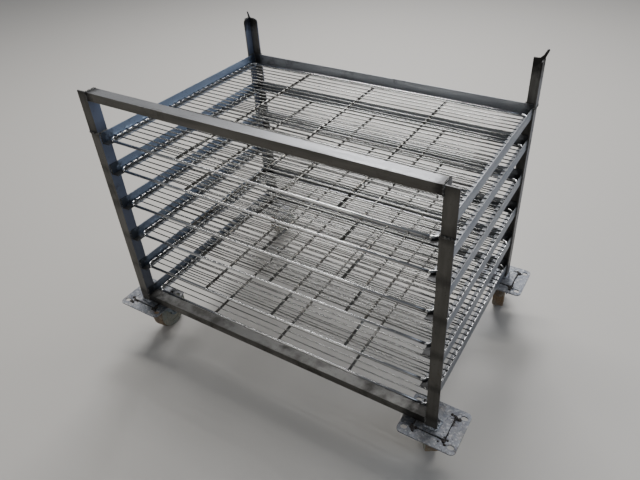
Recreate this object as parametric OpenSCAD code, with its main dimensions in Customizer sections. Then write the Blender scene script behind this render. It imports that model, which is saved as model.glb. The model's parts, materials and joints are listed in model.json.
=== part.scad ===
// Low wire-shelf rack trolley: a welded steel angle frame on four swivel castors,
// six pairs of shelf runners and six lift-in wire shelves.
// Millimetres. X runs across the shelves, Y from the open front to the back, Z up from the floor.

/* [Frame] */
// Width of the shelf bay, between the faces that the runners are welded to
bay_w = 606; // [500:1:760]
// Depth of the frame over its posts
frame_d = 426; // [340:1:540]
// Width of each leg of the corner angles
leg_w = 20; // [16:0.5:28]
// Thickness of the corner angles
leg_t = 2.5; // [2:0.1:4]
// Height of the front uprights over the top shelf's runners
upright_h = 73; // [55:1:110]
// How far the uprights are set outward of the posts that they are welded to
upright_shift = 1.2; // [0:0.1:2]
// Extra height of the rear left upright
rear_left_extra = 2; // [0:1:20]
// Extra height of the rear right upright
rear_right_extra = 8; // [0:1:20]
// Length of the torn spike on the rear left upright
spike_len = 13; // [4:1:25]
// Height of the torn tongue on the rear right upright
tongue_h = 16; // [8:1:25]

/* [Bars] */
// Depth of the square-edged tubes across the front
bar_d = 20; // [15:0.5:30]
// Height of the tubes across the front
bar_h = 15; // [10:0.5:25]
// Wall of the tubes across the front
bar_wall = 1.5; // [1:0.1:3]
// How far the bottom rail stands over the bottom shelf's ledge
rail_lip = 3.5; // [1:0.5:8]

/* [Shelf runners] */
// Height of the lowest runners' top edges over the foot plates
first_runner_up = 35; // [30:1:60]
// Distance between shelf levels
shelf_pitch = 71; // [50:1:110]
// Distance from the top shelf down to the next one
top_pitch = 60; // [45:1:110]
// Height of a runner
runner_h = 20; // [15:0.5:30]
// Width of a runner's ledge
ledge_w = 14; // [10:0.5:25]
// Thickness of the runners
runner_t = 1.5; // [1:0.1:3]
// How far the runners' front ends stand behind the posts' front faces
runner_setback = 3; // [0:0.5:10]

/* [Shelves] */
// Side play of a shelf between its runners' upright legs, on each side
shelf_gap = 1.5; // [0.5:0.1:4]
// Wire of the shelf's rim and its three cross wires
rim_wire = 5; // [3:0.1:7]
// Thin wire that makes the shelf's surface
thin_wire = 2.2; // [1.5:0.1:4]
// Distance between thin wires, to the nearest whole number of spaces
wire_pitch = 13.2; // [8:0.1:30]
// Corner radius of the rim, to the middle of its wire
rim_r = 12; // [8:1:30]

/* [Castors] */
// Overall height of a castor
castor_h = 100; // [85:1:140]
// Wheel diameter over the tyre
wheel_d = 80; // [60:1:82]
// Tyre width
wheel_w = 24; // [18:1:32]
// How far the wheel's axle trails the swivel
trail = 35; // [20:1:45]
// Castor plate length across the trolley
plate_w = 100; // [90:1:130]
// Castor plate depth
plate_d = 85; // [80:1:110]
// Castor plate thickness
plate_t = 2.5; // [2:0.1:4]
// Spacing of the plate's slots across the trolley
slot_dx = 80; // [70:0.5:90]
// Spacing of the plate's slots front to back
slot_dy = 60; // [55:0.5:70]
// Width of a slot
slot_w = 8.5; // [6:0.5:11]
// Length of a slot from end to end
slot_len = 11; // [9:0.5:14]
// Distance from a post's front face back to its castor's swivel
castor_inset = 15; // [5:1:30]
// Axle bolt diameter
axle_d = 8; // [6:0.5:12]
// Swivel pin diameter
kingpin_d = 10; // [8:0.5:14]
// Running clearance of the wheels and swivels, on the radius
run_clear = 0.05; // [0.02:0.01:0.1]
// Foot plate length across the trolley
foot_w = 53; // [40:1:70]
// Foot plate depth
foot_d = 46; // [40:1:60]
// Foot plate thickness
foot_t = 3; // [2:0.1:6]
// Turn of the front left castor: 0 trails straight back, a plus turn goes to the left
front_left_turn = 8; // [-180:1:180]
// Turn of the front right castor
front_right_turn = 30; // [-180:1:180]
// Turn of the rear left castor
rear_left_turn = 0; // [-180:1:180]
// Turn of the rear right castor
rear_right_turn = 11; // [-180:1:180]

/* [Hidden] */
$fn = 48;
eps = 0.01;

// Shelf levels are counted from the top
levels = 6;

// How far a castor reaches back from its swivel at a turn, past its plate's edge or not
wheel_r = wheel_d / 2;
tread_edge = 3;
function reach(turn) = max(
    plate_d / 2,
    tread_edge + (trail + wheel_r * sign(cos(turn)) - tread_edge * sign(cos(turn))) * cos(turn)
        + (wheel_w / 2 - tread_edge) * abs(sin(turn))
);

// Places in Y: the origin is the middle of the whole trolley, castors included
rear_reach = max(reach(rear_left_turn), reach(rear_right_turn));
front_reach = max(reach(front_left_turn + 180), reach(front_right_turn + 180));
front_y = -(frame_d + rear_reach - front_reach) / 2;
back_y = front_y + frame_d;
bay_x = bay_w / 2;

// Heights
post_base = castor_h + foot_t;
top_shelf_z = post_base + first_runner_up + 4 * shelf_pitch + top_pitch;
function runner_top(level) = level == 1
    ? top_shelf_z : top_shelf_z - top_pitch - (level - 2) * shelf_pitch;
function ledge_top(level) = runner_top(level) - runner_h + runner_t;
rail_top = ledge_top(levels) + rail_lip;
bar_top = top_shelf_z + upright_h;

// Shelves: each one stops at a slightly different place along its runners
seat_gap = 0.3;
end_gap = 1;
rail_face_y = back_y - leg_t - runner_t;
shelf_w = bay_w - 2 * (runner_t + shelf_gap);
shelf_d = frame_d - bar_d - leg_t - runner_t - 2 * end_gap;
shelf_setback = [10, 14, 13, 18, 11, bar_d + end_gap];
rim_gap = shelf_d - rim_wire;
wire_spaces = round(rim_gap / wire_pitch);
wire_sink = 0.4;
wire_end = 1.5;
cross_end = 1;

// Castors
axle_z = wheel_r;
axle_r = axle_d / 2;
kingpin_r = kingpin_d / 2;
plate_z = castor_h - plate_t;
ball_r = 2.5;
ball_ring_r = 16;
ball_count = 12;
ball_gap = 0.1;
fork_t = 3;
fork_disc_r = 22;
fork_top = castor_h - 11;
fork_leg_t = 2.5;
fork_leg_x = wheel_w / 2 + 1.5;
fork_end_r = 13;
head_t = 3.2;
head_gap = 0.3;
skirt_t = 2.5;
hub_r = axle_r + 5;
hub_side = 0.5;
tread_t = wheel_r / 5;
rim_band = 4;
band_inset = 0.5;
web_inset = 2;
nut_af = 13;
nut_t = 6;

// A castor position is [side, row]: side -1 left or 1 right, row 0 front or 1 rear
function swivel_x(at) = at[0] * (bay_x + (at[1] == 0 ? leg_w / 2 : leg_t - leg_w / 2));
function swivel_y(at) = at[1] == 0 ? front_y + castor_inset : back_y - castor_inset;
front_left = [-1, 0];
front_right = [1, 0];
rear_left = [-1, 1];
rear_right = [1, 1];
corners = [front_left, front_right, rear_left, rear_right];

// Mirrors a right-hand shape to the left when side is -1
module on_side(side) {
    mirror([side < 0 ? 1 : 0, 0, 0])
        children();
}

// Plan of a front corner angle: its corner is inward, one leg faces forward and one runs back
module front_angle() {
    square([leg_w, leg_t]);
    square([leg_t, leg_w]);
}

// Plan of a rear corner angle: its corner is outward and to the rear
module rear_angle() {
    translate([0, -leg_w])
        square([leg_t, leg_w]);
    translate([leg_t - leg_w, -leg_t])
        square([leg_w, leg_t]);
}

module post(side, row) {
    color("#5a5852")
        on_side(side)
        translate([bay_x, row == 0 ? front_y : back_y, post_base])
        linear_extrude(top_shelf_z - post_base)
        if (row == 0) front_angle(); else rear_angle();
}

module front_upright(side) {
    color("#54524d")
        on_side(side)
        translate([bay_x + upright_shift, front_y, top_shelf_z])
        linear_extrude(upright_h)
        front_angle();
}

// Rounds off the top outer corner of a leg that stands in X from 0 to leg_w
module rounded_leg(height, radius) {
    difference() {
        square([leg_w, height]);
        translate([0, height - radius])
            difference() {
                square([radius, radius]);
                translate([radius, 0])
                    circle(radius);
            }
    }
}

// The rear left upright was cut off round, and a thin spike of burnt metal stands on it
module rear_left_upright() {
    height = upright_h + rear_left_extra;
    spike_lean = 16;
    color("#4b4a48")
        mirror([1, 0, 0])
        translate([bay_x + upright_shift, back_y, top_shelf_z]) {
            translate([0, -leg_w, 0])
                rotate([90, 0, 90])
                linear_extrude(leg_t)
                rounded_leg(height, leg_w / 2.5);
            translate([leg_t - leg_w, 0, 0])
                rotate([90, 0, 0])
                linear_extrude(leg_t)
                rounded_leg(height, leg_w / 2.5);
            translate([leg_t / 2, -leg_t / 2, height - 1])
                rotate([0, spike_lean, 0])
                cylinder(h = spike_len, r1 = leg_t * 0.9, r2 = leg_t / 2, $fn = 16);
        }
}

// The rear right upright was torn off: a tongue leans out of its top, over a small hole
module rear_right_upright() {
    height = upright_h + rear_right_extra;
    hole_drop = 7;
    hole_r = 2;
    tongue = [
        [-8, -1], [leg_t / 2, -1], [3.4, 5], [6.6, tongue_h - 2.5], [6.2, tongue_h],
        [3, tongue_h - 0.5], [-1.5, 6]
    ];
    color("#4b4a48")
        translate([bay_x + upright_shift, back_y, top_shelf_z]) {
            difference() {
                linear_extrude(height)
                    rear_angle();
                translate([-eps, -leg_w / 3, height - hole_drop])
                    rotate([0, 90, 0])
                    cylinder(h = leg_t + 2 * eps, r = hole_r, $fn = 24);
            }
            translate([0, 0, height])
                rotate([90, 0, 0])
                linear_extrude(leg_t)
                polygon(tongue);
        }
}

// A tube across the front, open at both ends
module front_tube(half_w, top) {
    translate([-half_w, front_y, top - bar_h])
        difference() {
            cube([2 * half_w, bar_d, bar_h]);
            translate([-eps, bar_wall, bar_wall])
                cube([2 * (half_w + eps), bar_d - 2 * bar_wall, bar_h - 2 * bar_wall]);
        }
}

module top_bar() {
    color("#55534d")
        front_tube(bay_x + upright_shift, bar_top);
}

module bottom_rail() {
    color("#6b675e")
        front_tube(bay_x, rail_top);
}

// A side runner: an upright leg on the posts, and a ledge inward. The bottom pair is cut
// away round the bottom rail.
module runner(side, level) {
    length = rail_face_y - front_y - runner_setback;
    color("#5d6468")
        on_side(side)
        difference() {
            translate([0, front_y + runner_setback, runner_top(level) - runner_h]) {
                translate([bay_x - runner_t, 0, 0])
                    cube([runner_t, length, runner_h]);
                translate([bay_x - ledge_w, 0, 0])
                    cube([ledge_w, length, runner_t]);
            }
            if (level == levels)
                translate([bay_x - ledge_w - 1, front_y - 1, rail_top - runner_h])
                    cube([ledge_w + 2, bar_d + 1, runner_h]);
        }
}

// A rear rail: its upright leg lies on the rear posts, its ledge fits between the runners'
module back_rail(level) {
    base = runner_top(level) - runner_h;
    color("#5f6362") {
        translate([-bay_x, rail_face_y, base])
            cube([bay_w, runner_t, runner_h]);
        translate([ledge_w - bay_x, rail_face_y + runner_t - ledge_w, base])
            cube([bay_w - 2 * ledge_w, ledge_w, runner_t]);
    }
}

// A round bar along X from one point to the other side of the shelf
module bar_x(y, z, half_len, r, sides) {
    translate([-half_len, y, z])
        rotate([0, 90, 0])
        cylinder(h = 2 * half_len, r = r, $fn = sides);
}

module bar_y(x, y0, y1, r, sides) {
    translate([x, y0, 0])
        rotate([-90, 0, 0])
        cylinder(h = y1 - y0, r = r, $fn = sides);
}

// The rim: one wire bent round four corners, in the plane of its own middle
module rim(half_w, half_d) {
    r = rim_wire / 2;
    for (x = [-1, 1])
        bar_y(x * half_w, rim_r - half_d, half_d - rim_r, r, 32);
    for (y = [-1, 1])
        bar_x(y * half_d, 0, half_w - rim_r, r, 32);
    for (turn = [[1, 1, 0], [-1, 1, 90], [-1, -1, 180], [1, -1, 270]])
        translate([turn[0] * (half_w - rim_r), turn[1] * (half_d - rim_r), 0])
            rotate([0, 0, turn[2]])
            rotate_extrude(angle = 90, $fn = 64)
            translate([rim_r, 0])
            circle(r, $fn = 32);
}

module shelf(level) {
    half_w = (shelf_w - rim_wire) / 2;
    half_d = rim_gap / 2;
    space = rim_gap / wire_spaces;
    thin_z = (rim_wire + thin_wire) / 2 - wire_sink;
    color("#b9bbb8")
        translate([
            0,
            front_y + shelf_setback[level - 1] + shelf_d / 2,
            ledge_top(level) + seat_gap + rim_wire / 2
        ]) {
            rim(half_w, half_d);
            for (x = [-1, 0, 1])
                bar_y(x * half_w / 2, cross_end - half_d, half_d - cross_end, rim_wire / 2, 32);
            for (i = [1 : wire_spaces - 1])
                bar_x(i * space - half_d, thin_z, half_w + wire_end, thin_wire / 2, 16);
        }
}

module foot_plates() {
    color("#8d8f8c")
        for (at = corners)
            translate([swivel_x(at) - foot_w / 2, swivel_y(at) - foot_d / 2, castor_h])
                cube([foot_w, foot_d, foot_t]);
}

module rounded_plate(w, d, r) {
    for (x = [-1, 1])
        for (y = [-1, 1])
            translate([x * (w / 2 - r), y * (d / 2 - r)])
                circle(r);
    square([w - 2 * r, d], center = true);
    square([w, d - 2 * r], center = true);
}

module slot() {
    run = (slot_len - slot_w) / 2;
    for (x = [-run, run])
        translate([x, 0])
            circle(slot_w / 2, $fn = 32);
    square([2 * run, slot_w], center = true);
}

// Top plate of a castor, with its pressed race for the balls and the skirt round them
module castor_plate(at) {
    corner_r = 9;
    race_h = plate_z - fork_top - 2 * (ball_r + ball_gap);
    bore_r = kingpin_r + run_clear;
    color("#9a9c98")
        translate([swivel_x(at), swivel_y(at), plate_z]) {
            linear_extrude(plate_t)
                difference() {
                    rounded_plate(plate_w, plate_d, corner_r);
                    for (x = [-1, 1])
                        for (y = [-1, 1])
                            translate([x * slot_dx / 2, y * slot_dy / 2])
                                slot();
                    circle(bore_r);
                }
            translate([0, 0, -race_h])
                linear_extrude(race_h)
                difference() {
                    circle(fork_disc_r + skirt_t / 2);
                    circle(bore_r);
                }
            translate([0, 0, fork_top + seat_gap - plate_z])
                linear_extrude(plate_z - fork_top - seat_gap)
                difference() {
                    circle(fork_disc_r + skirt_t / 2);
                    circle(fork_disc_r - skirt_t / 2);
                }
        }
}

// Swivel pins: a head under the fork, a collar over the balls' middle, the end flush on top
module kingpins() {
    race_z = fork_top + 2 * (ball_r + ball_gap);
    head_z = fork_top - fork_t - head_gap - head_t;
    collar_t = 1.7;
    color("#7c7d7a")
        for (at = corners)
            translate([swivel_x(at), swivel_y(at), 0]) {
                translate([0, 0, head_z])
                    cylinder(h = head_t, r = kingpin_r + 4);
                translate([0, 0, head_z])
                    cylinder(h = castor_h - head_z, r = kingpin_r);
                translate([0, 0, race_z - collar_t])
                    cylinder(h = collar_t, r = kingpin_r + 3);
            }
}

module swivel_balls() {
    color("#8f9090")
        for (at = corners)
            translate([swivel_x(at), swivel_y(at), fork_top + ball_r + ball_gap])
                for (i = [0 : ball_count - 1])
                    rotate([0, 0, i * 360 / ball_count])
                    translate([ball_ring_r, 0, 0])
                    sphere(ball_r, $fn = 24);
}

// Puts its children at a castor's swivel, turned about it
module at_swivel(at, turn) {
    translate([swivel_x(at), swivel_y(at), 0])
        rotate([0, 0, turn])
        children();
}

// Puts its children on the castor's axle, with their own Z along it
module on_axle(at, turn) {
    at_swivel(at, turn)
        translate([0, trail, axle_z])
        rotate([0, 90, 0])
        children();
}

// Side view of a fork leg, Y along the trail and Z up: a blade that narrows to a round end
module fork_leg() {
    difference() {
        union() {
            polygon([
                [-fork_disc_r / 1.6, fork_top],
                [-fork_disc_r / 1.6, fork_top - fork_t],
                [trail - fork_end_r, axle_z],
                [trail + fork_end_r, axle_z],
                [fork_disc_r / 1.2, fork_top - fork_t],
                [fork_disc_r / 1.2, fork_top]
            ]);
            translate([trail, axle_z])
                circle(fork_end_r);
        }
        translate([trail, axle_z])
            circle(axle_r + run_clear);
    }
}

module fork(at, turn) {
    color("#6f7473")
        at_swivel(at, turn) {
            difference() {
                translate([0, 0, fork_top - fork_t])
                    linear_extrude(fork_t)
                    union() {
                        circle(fork_disc_r);
                        translate([-fork_leg_x, -fork_disc_r / 1.6])
                            square([2 * fork_leg_x, fork_disc_r / 1.6 + fork_disc_r / 1.2]);
                    }
                translate([0, 0, fork_top - fork_t - eps])
                    cylinder(h = fork_t + 2 * eps, r = kingpin_r + run_clear);
            }
            for (x = [fork_leg_x, -fork_leg_x - fork_leg_t])
                translate([x, 0, 0])
                    rotate([90, 0, 90])
                    linear_extrude(fork_leg_t)
                    fork_leg();
        }
}

// Axle bolt: its hexagon head and its nut clamp the fork's legs
module axle(at, turn) {
    outside = fork_leg_x + fork_leg_t;
    hex_r = nut_af / sqrt(3);
    color("#7f807c")
        on_axle(at, turn) {
            translate([0, 0, -outside - nut_t + 1])
                cylinder(h = nut_t - 1, r = hex_r, $fn = 6);
            translate([0, 0, -outside - 1])
                cylinder(h = 2 * outside + nut_t + 3, r = axle_r);
            translate([0, 0, outside])
                cylinder(h = nut_t, r = hex_r, $fn = 6);
        }
}

// Wheel centre: a hub, a thin web and the band that the tyre sits on
module wheel_centre(at, turn) {
    band_r = wheel_r - tread_t;
    hub_half = fork_leg_x - hub_side;
    color("#6d756f")
        on_axle(at, turn)
        rotate_extrude()
        union() {
            translate([axle_r + run_clear, -hub_half])
                square([hub_r - axle_r - run_clear, 2 * hub_half]);
            translate([axle_r + run_clear, web_inset - wheel_w / 2])
                square([band_r - axle_r - run_clear, wheel_w - 2 * web_inset]);
            translate([band_r - rim_band, -wheel_w / 2 + band_inset])
                square([rim_band, wheel_w - 2 * band_inset]);
        }
}

module tyre(at, turn) {
    band_r = wheel_r - tread_t;
    half = wheel_w / 2;
    color("#57534a")
        on_axle(at, turn)
        rotate_extrude()
        union() {
            translate([band_r, -half])
                square([tread_t - tread_edge, wheel_w]);
            translate([band_r, -half + tread_edge])
                square([tread_t, wheel_w - 2 * tread_edge]);
            for (z = [-1, 1])
                translate([wheel_r - tread_edge, z * (half - tread_edge)])
                    circle(tread_edge, $fn = 32);
        }
}

post(-1, 0);  // front_left_post
post(1, 0);  // front_right_post
post(-1, 1);  // rear_left_post
post(1, 1);  // rear_right_post
front_upright(-1);  // front_left_upright
front_upright(1);  // front_right_upright
rear_left_upright();
rear_right_upright();
top_bar();
bottom_rail();
runner(-1, 1);  // left_runner_1
runner(-1, 2);  // left_runner_2
runner(-1, 3);  // left_runner_3
runner(-1, 4);  // left_runner_4
runner(-1, 5);  // left_runner_5
runner(-1, 6);  // left_runner_6
runner(1, 1);  // right_runner_1
runner(1, 2);  // right_runner_2
runner(1, 3);  // right_runner_3
runner(1, 4);  // right_runner_4
runner(1, 5);  // right_runner_5
runner(1, 6);  // right_runner_6
back_rail(1);  // back_rail_1
back_rail(2);  // back_rail_2
back_rail(3);  // back_rail_3
back_rail(4);  // back_rail_4
back_rail(5);  // back_rail_5
back_rail(6);  // back_rail_6
shelf(1);  // shelf_1
shelf(2);  // shelf_2
shelf(3);  // shelf_3
shelf(4);  // shelf_4
shelf(5);  // shelf_5
shelf(6);  // shelf_6
foot_plates();
kingpins();
swivel_balls();
castor_plate(front_left);  // front_left_castor_plate
castor_plate(front_right);  // front_right_castor_plate
castor_plate(rear_left);  // rear_left_castor_plate
castor_plate(rear_right);  // rear_right_castor_plate
fork(front_left, front_left_turn);  // front_left_fork
fork(front_right, front_right_turn);  // front_right_fork
fork(rear_left, rear_left_turn);  // rear_left_fork
fork(rear_right, rear_right_turn);  // rear_right_fork
axle(front_left, front_left_turn);  // front_left_axle
axle(front_right, front_right_turn);  // front_right_axle
axle(rear_left, rear_left_turn);  // rear_left_axle
axle(rear_right, rear_right_turn);  // rear_right_axle
wheel_centre(front_left, front_left_turn);  // front_left_wheel
wheel_centre(front_right, front_right_turn);  // front_right_wheel
wheel_centre(rear_left, rear_left_turn);  // rear_left_wheel
wheel_centre(rear_right, rear_right_turn);  // rear_right_wheel
tyre(front_left, front_left_turn);  // front_left_tyre
tyre(front_right, front_right_turn);  // front_right_tyre
tyre(rear_left, rear_left_turn);  // rear_left_tyre
tyre(rear_right, rear_right_turn);  // rear_right_tyre
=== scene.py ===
# %% [markdown]
# # Wire shelf rack trolley
# A low welded steel rack on four swivel castors, with six lift-in wire shelves. It was cut down
# from a taller one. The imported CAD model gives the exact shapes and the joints. This script keeps
# them and adds what a drawing leaves out: worn metal, welds, dirt, a floor and light.
# Lengths are in metres, X is to the right, Y goes back from the open front, Z is up.

# %% Load the frame
import json
import math
import random

import bmesh
import bpy
from mathutils import Matrix, Vector

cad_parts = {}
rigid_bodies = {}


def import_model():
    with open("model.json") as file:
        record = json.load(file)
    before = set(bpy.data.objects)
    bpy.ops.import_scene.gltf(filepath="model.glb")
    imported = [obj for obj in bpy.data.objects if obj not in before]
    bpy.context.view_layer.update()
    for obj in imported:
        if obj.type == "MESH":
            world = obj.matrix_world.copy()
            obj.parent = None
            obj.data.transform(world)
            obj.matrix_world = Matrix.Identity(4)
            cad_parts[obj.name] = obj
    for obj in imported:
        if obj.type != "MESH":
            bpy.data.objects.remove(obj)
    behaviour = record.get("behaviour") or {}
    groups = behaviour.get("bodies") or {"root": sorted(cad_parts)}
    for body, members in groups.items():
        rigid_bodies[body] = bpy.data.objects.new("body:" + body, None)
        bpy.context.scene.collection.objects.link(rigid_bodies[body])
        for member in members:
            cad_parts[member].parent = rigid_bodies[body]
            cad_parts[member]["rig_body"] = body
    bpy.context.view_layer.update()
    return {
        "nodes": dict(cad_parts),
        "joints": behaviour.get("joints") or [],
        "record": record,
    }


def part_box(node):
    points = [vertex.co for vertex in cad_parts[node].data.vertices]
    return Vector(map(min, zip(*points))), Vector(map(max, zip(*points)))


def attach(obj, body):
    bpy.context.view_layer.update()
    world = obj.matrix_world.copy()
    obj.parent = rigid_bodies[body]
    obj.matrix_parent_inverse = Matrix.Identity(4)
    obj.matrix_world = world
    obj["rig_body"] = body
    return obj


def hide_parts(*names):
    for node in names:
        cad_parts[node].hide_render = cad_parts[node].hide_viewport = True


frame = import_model()

# %% [markdown]
# ## Sizes read off the frame
# Everything that is added sits on a face of a CAD node. Its place could be typed in, but then it
# would be wrong as soon as a size in the CAD changes. So places come from the nodes' boxes.

# %% Places
MM = 0.001
LEVELS = range(1, 7)
CORNERS = ("front_left", "front_right", "rear_left", "rear_right")
POST = {c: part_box(c + "_post") for c in CORNERS}
UPRIGHT = {c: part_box(c + "_upright") for c in CORNERS}
TOP_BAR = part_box("top_bar")
BOTTOM_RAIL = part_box("bottom_rail")
RUNNER_TOP = {i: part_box(f"left_runner_{i}")[1].z for i in LEVELS}
LEVEL_STEP = RUNNER_TOP[2] - RUNNER_TOP[3]
FOOT_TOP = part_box("foot_plates")[1].z
FRONT_Y = POST["front_left"][0].y
BACK_Y = POST["rear_left"][1].y
SEAM_Z = POST["front_left"][1].z
BAY_X = POST["front_right"][0].x
LEG_W = POST["front_right"][1].x - BAY_X
print("bay half width", round(BAY_X, 4), "runner tops", [round(RUNNER_TOP[i], 3) for i in LEVELS])

# %% [markdown]
# ## Shader helpers
# A material is a tree of nodes. Each node could be made and linked by hand, in four lines. These
# helpers do it in one: a plain value is set on the socket, and another node's output is linked.


# %% Node helpers
def connect(tree, socket, value):
    if isinstance(value, bpy.types.NodeSocket):
        tree.links.new(value, socket)
    else:
        socket.default_value = value


def shade(tree, kind, inputs=None, **settings):
    node = tree.nodes.new("ShaderNode" + kind)
    for key, value in settings.items():
        setattr(node, key, value)
    for key, value in (inputs or {}).items():
        connect(tree, node.inputs[key], value)
    return node


def math_node(tree, operation, *values):
    return shade(tree, "Math", dict(enumerate(values)), operation=operation).outputs[0]


def remap(tree, value, low, high, to_low=0.0, to_high=1.0):
    inputs = {
        "Value": value, "From Min": low, "From Max": high, "To Min": to_low, "To Max": to_high
    }
    return shade(tree, "MapRange", inputs, clamp=True).outputs["Result"]


def noise(tree, vector, scale, detail=4.0, roughness=0.55):
    inputs = {"Vector": vector, "Scale": scale, "Detail": detail, "Roughness": roughness}
    return shade(tree, "TexNoise", inputs).outputs["Fac"]


print("helpers:", shade.__name__, math_node.__name__, remap.__name__, noise.__name__)

# %% [markdown]
# ## Layers of colour
# Dirt lies over tarnish, and tarnish over steel. A Mix node lays one colour over another where a
# mask is 1, so a worn surface is a short chain of them, from the bare metal up.


# %% Colour layers
def mix(tree, mask, under, over):
    """Colour over another where the mask is 1."""
    node = shade(tree, "Mix", data_type="RGBA", clamp_factor=True)
    colours = [s for s in node.inputs if s.type == "RGBA"]
    connect(tree, node.inputs[0], mask)
    for socket, value in zip(colours, (under, over)):
        connect(tree, socket, value if isinstance(value, bpy.types.NodeSocket) else (*value, 1.0))
    return [s for s in node.outputs if s.type == "RGBA"][0]


def layer(tree, mask, strength, under, over):
    """As mix, with the mask turned down to a strength."""
    return mix(tree, math_node(tree, "MULTIPLY", mask, strength), under, over)


print("layers:", mix.__name__, layer.__name__)

# %% [markdown]
# ## Node groups
# All the metals share some effects. Each could be copied into every material, but a group is made
# once, has named inputs, and is placed in each material with its own values.


# %% Group helpers
def group(name, inputs, outputs):
    tree = bpy.data.node_groups.new(name, "ShaderNodeTree")
    for label, kind, default in inputs:
        socket = tree.interface.new_socket(label, in_out="INPUT", socket_type="NodeSocket" + kind)
        if default is not None:
            socket.default_value = default
    for label, kind in outputs:
        tree.interface.new_socket(label, in_out="OUTPUT", socket_type="NodeSocket" + kind)
    return tree, tree.nodes.new("NodeGroupInput").outputs, tree.nodes.new("NodeGroupOutput").inputs


def use(tree, made, inputs):
    node = tree.nodes.new("ShaderNodeGroup")
    node.node_tree = made
    for key, value in inputs.items():
        connect(tree, node.inputs[key], value)
    return node.outputs


print("group helpers:", group.__name__, use.__name__)

# %% [markdown]
# ## Stains
# Grime and rust spread in ragged patches, broad ones with fine edges. One noise alone looks like
# clouds, so a fine noise is added to a broad one, and the sum is cut off at a level. Amount moves
# that level, so one group gives anything from a few marks to a full coat.


# %% Stains
def stain_group():
    tree, have, give = group(
        "stains", [("Vector", "Vector", None), ("Scale", "Float", 12.0), ("Amount", "Float", 0.5)],
        [("Mask", "Float")],
    )
    broad = noise(tree, have["Vector"], have["Scale"], 6.0, 0.62)
    fine_scale = math_node(tree, "MULTIPLY", have["Scale"], 7.0)
    fine = noise(tree, have["Vector"], fine_scale, 5.0, 0.6)
    both = math_node(tree, "MULTIPLY_ADD", fine, 0.35, math_node(tree, "MULTIPLY", broad, 0.65))
    edge = math_node(tree, "SUBTRACT", 0.8, math_node(tree, "MULTIPLY", have["Amount"], 0.6))
    upper = math_node(tree, "ADD", edge, 0.12)
    tree.links.new(remap(tree, both, edge, upper), give["Mask"])
    return tree


STAINS = stain_group()
print("stains:", len(STAINS.nodes), "nodes")

# %% [markdown]
# ## Specks
# Small pits and dots of dirt lie apart, each with its own size. A noise can't do that, but a
# Voronoi texture gives one cell to each dot, and the cell's own random colour sets the dot's size.
# A little noise bends the place first, so that the dots aren't perfect circles.


# %% Specks
def spot_group():
    tree, have, give = group(
        "spots", [("Vector", "Vector", None), ("Scale", "Float", 200.0), ("Size", "Float", 0.2)],
        [("Mask", "Float")],
    )
    bend = shade(
        tree, "TexNoise", {"Vector": have["Vector"], "Scale": have["Scale"], "Detail": 2.0}
    ).outputs["Color"]
    small = shade(
        tree, "VectorMath", {0: bend, "Scale": 0.002}, operation="SCALE"
    ).outputs["Vector"]
    moved = shade(
        tree, "VectorMath", {0: have["Vector"], 1: small}, operation="ADD"
    ).outputs["Vector"]
    cell = shade(tree, "TexVoronoi", {"Vector": moved, "Scale": have["Scale"], "Randomness": 1.0})
    pick = shade(tree, "SeparateColor", {0: cell.outputs["Color"]}).outputs[0]
    size = math_node(tree, "MULTIPLY", have["Size"], pick)
    soft = math_node(tree, "MULTIPLY", size, 0.55)
    tree.links.new(remap(tree, cell.outputs["Distance"], size, soft), give["Mask"])
    return tree


SPOTS = spot_group()
print("specks:", len(SPOTS.nodes), "nodes")

# %% [markdown]
# ## Drawn streaks
# Rolled and drawn steel has fine lines along its length. They could be waves, but real ones don't
# repeat. A noise is squeezed across the piece instead, by a stretch that each steel gives.


# %% Drawn streaks
def streak_group():
    tree, have, give = group(
        "streaks", [("Vector", "Vector", None), ("Stretch", "Vector", (1.0, 1.0, 1.0))],
        [("Value", "Float")],
    )
    long_way = shade(
        tree, "VectorMath", {0: have["Vector"], 1: have["Stretch"]}, operation="MULTIPLY"
    ).outputs["Vector"]
    tree.links.new(noise(tree, long_way, 1.0, 5.0, 0.6), give["Value"])
    return tree


STREAKS = streak_group()
print("streaks:", len(STREAKS.nodes), "nodes")

# %% [markdown]
# ## Scorched bands
# Welding a runner to a post burns a dark band round the post. Six painted masks would do it, but
# the levels are evenly spaced, so one remainder gives the distance to the nearest. The top shelf
# is set closer, so the seam above it has a term of its own.


# %% Scorched bands
def scorch_group():
    """Mask that is 1 at each welded level: even steps up from the lowest runner, and the top."""
    tree, have, give = group(
        "scorch",
        [
            ("Vector", "Vector", None), ("Lowest", "Float", 0.1), ("Step", "Float", 0.07),
            ("Top", "Float", 0.5), ("Width", "Float", 0.012),
        ],
        [("Mask", "Float")],
    )
    height = shade(tree, "SeparateXYZ", {0: have["Vector"]}).outputs["Z"]
    ragged = noise(tree, have["Vector"], 60.0, 4.0)
    wobble = math_node(tree, "MULTIPLY_ADD", ragged, 0.02, -0.01)
    height = math_node(tree, "ADD", height, wobble)
    over = math_node(tree, "SUBTRACT", height, have["Lowest"])
    half = math_node(tree, "MULTIPLY", have["Step"], 0.5)
    turn = math_node(tree, "FLOORED_MODULO", math_node(tree, "ADD", over, half), have["Step"])
    near = math_node(tree, "ABSOLUTE", math_node(tree, "SUBTRACT", turn, half))
    top = math_node(tree, "ABSOLUTE", math_node(tree, "SUBTRACT", height, have["Top"]))
    nearest = math_node(tree, "MINIMUM", near, top)
    tree.links.new(remap(tree, nearest, have["Width"], 0.002), give["Mask"])
    return tree


SCORCH = scorch_group()
print("groups:", [g.name for g in bpy.data.node_groups])

# %% [markdown]
# ## Start and end of a material
# Every material here is one Principled shader. Its place on the object comes from the Object
# coordinates, which a CAD node shares with the whole rack, so one stain can cross two pieces.


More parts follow.
